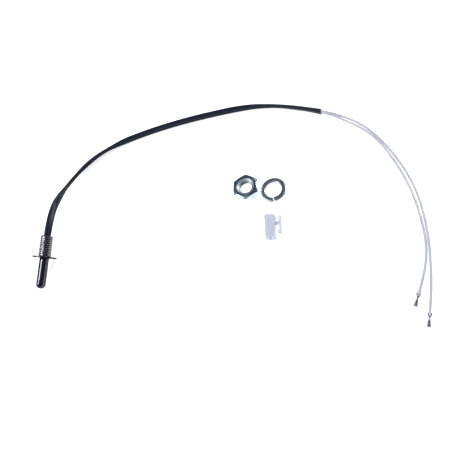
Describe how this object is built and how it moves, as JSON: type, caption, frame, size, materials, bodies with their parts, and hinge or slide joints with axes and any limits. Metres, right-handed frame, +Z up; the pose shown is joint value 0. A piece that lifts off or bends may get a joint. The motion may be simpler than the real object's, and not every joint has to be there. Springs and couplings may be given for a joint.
{
  "type": "thermocouple",
  "caption": "Screw-in thermocouple: flanged, threaded probe with a round-ended bulb, sleeved leads with crimp contacts, loose lock nut, split washer and latching connector housing.",
  "frame": {"origin": "centre of the flange's seat, on the probe's axis, where the thread starts", "axes": "+Z up from the table the kit lies on, +X along the table from the probe towards the crimp contacts, +Y the way the cable leaves the probe"},
  "size_m": [0.2731, 0.1751, 0.0173],
  "materials": {
    "polished_sheath": "polished",
    "plated_fitting": "bright plated",
    "weld_bead": "as welded",
    "positive_alloy": "drawn wire",
    "negative_alloy": "drawn wire",
    "insulator_ceramic": "fired",
    "packed_powder": "packed powder",
    "splice_copper": "pressed",
    "splice_shrink": "shrunk",
    "potting_resin": "cast",
    "black_sleeve": "satin extruded",
    "clear_insulation": "milky extruded",
    "tinned_copper": "drawn, tinned",
    "tinned_contact": "stamped, tinned",
    "zinc_nut": "blue zinc plated",
    "spring_steel": "zinc plated spring steel",
    "natural_nylon": "natural moulded"
  },
  "bodies": {
    "probe_and_cable": {"probe_sheath": "polished_sheath", "threaded_fitting": "plated_fitting", "sensing_junction": "weld_bead", "thermo_wire_positive": "positive_alloy", "thermo_wire_negative": "negative_alloy", "ceramic_insulator": "insulator_ceramic", "thermal_filler": "packed_powder", "splice_barrel_inner": "splice_copper", "splice_barrel_outer": "splice_copper", "splice_sleeves": "splice_shrink", "potting_ring": "potting_resin", "cable_sleeve": "black_sleeve", "lead_inner_insulation": "clear_insulation", "lead_outer_insulation": "clear_insulation", "lead_inner_conductor": "tinned_copper", "lead_outer_conductor": "tinned_copper", "contact_inner": "tinned_contact", "contact_outer": "tinned_contact"},
    "hex_nut": {"hex_nut": "zinc_nut"},
    "lock_washer": {"lock_washer": "spring_steel"},
    "connector_housing": {"connector_housing": "natural_nylon"},
    "latch_lever": {"latch_lever": "natural_nylon"}
  },
  "joints": [
    {"name": "nut_lift", "type": "slide", "parent": "probe_and_cable", "child": "hex_nut", "axis": [0, 0, 1], "range_m": [0, 0.04]},
    {"name": "washer_lift", "type": "slide", "parent": "probe_and_cable", "child": "lock_washer", "axis": [0, 0, 1], "range_m": [0, 0.04]},
    {"name": "housing_lift", "type": "slide", "parent": "probe_and_cable", "child": "connector_housing", "axis": [0, 0, 1], "range_m": [0, 0.04]},
    {"name": "latch_rock", "type": "hinge", "parent": "connector_housing", "child": "latch_lever", "pos_m": [0.1713, 0.0099, -0.00517], "axis": [0, 0, 1], "range_deg": [-3, 10], "stiffness_Nm_per_rad": 0.02}
  ]
}
